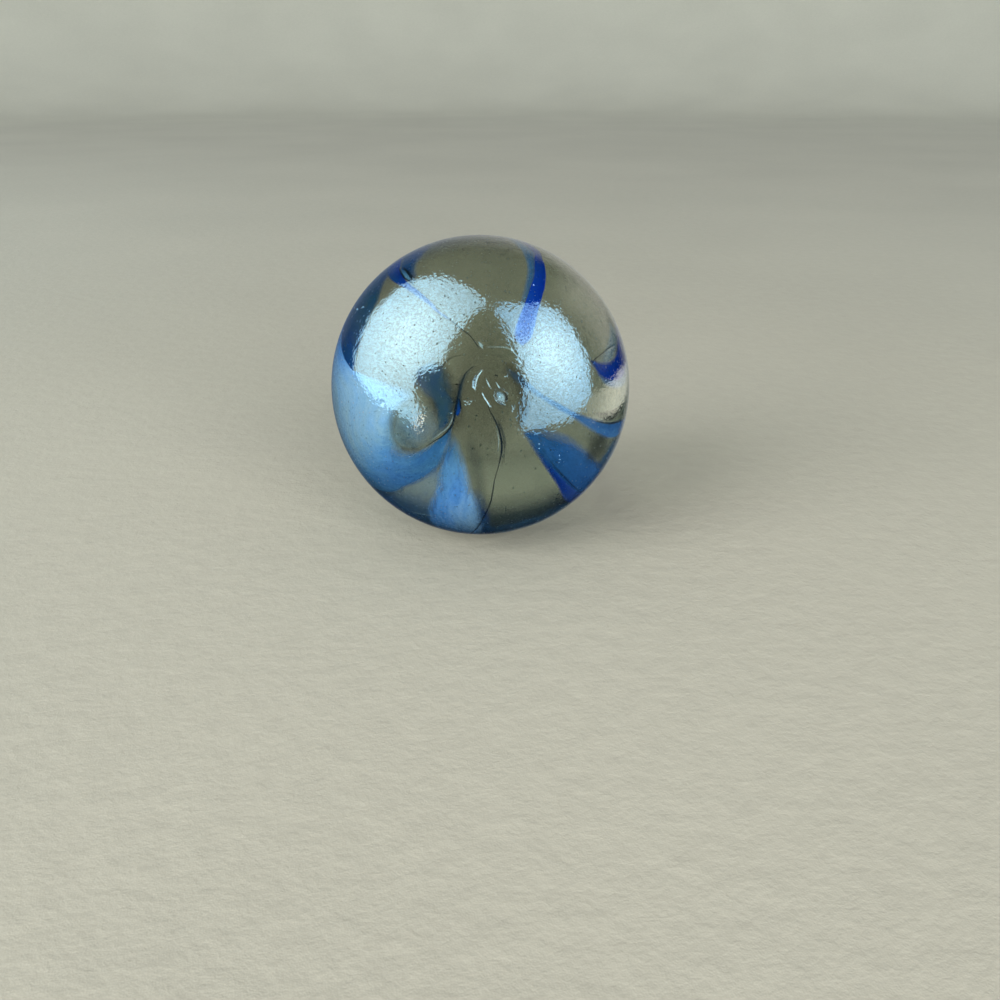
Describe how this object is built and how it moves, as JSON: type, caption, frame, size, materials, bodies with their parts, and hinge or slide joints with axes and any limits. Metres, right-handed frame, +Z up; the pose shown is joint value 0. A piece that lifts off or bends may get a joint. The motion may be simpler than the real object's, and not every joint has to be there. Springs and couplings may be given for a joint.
{
  "type": "glass marble",
  "caption": "Round marble of clear olive glass with pale blue veils and cobalt ribbons that swirl out of a cut mark on its face.",
  "frame": {"origin": "centre of the ball", "axes": "+Z up, -Y toward the viewer; the cut mark is 4 degrees round from -Y toward +X and 16 degrees up; the ball touches what it lies on at -Z"},
  "size_m": [0.016, 0.016, 0.016],
  "materials": {
    "clear_glass": "fire polished, clear, smoky olive",
    "pale_blue_glass": "fire polished, milky",
    "cobalt_glass": "fire polished, deep"
  },
  "bodies": {
    "root": {"clear_glass": "clear_glass", "pale_blue_veils": "pale_blue_glass", "cobalt_ribbons": "cobalt_glass"}
  },
  "joints": []
}
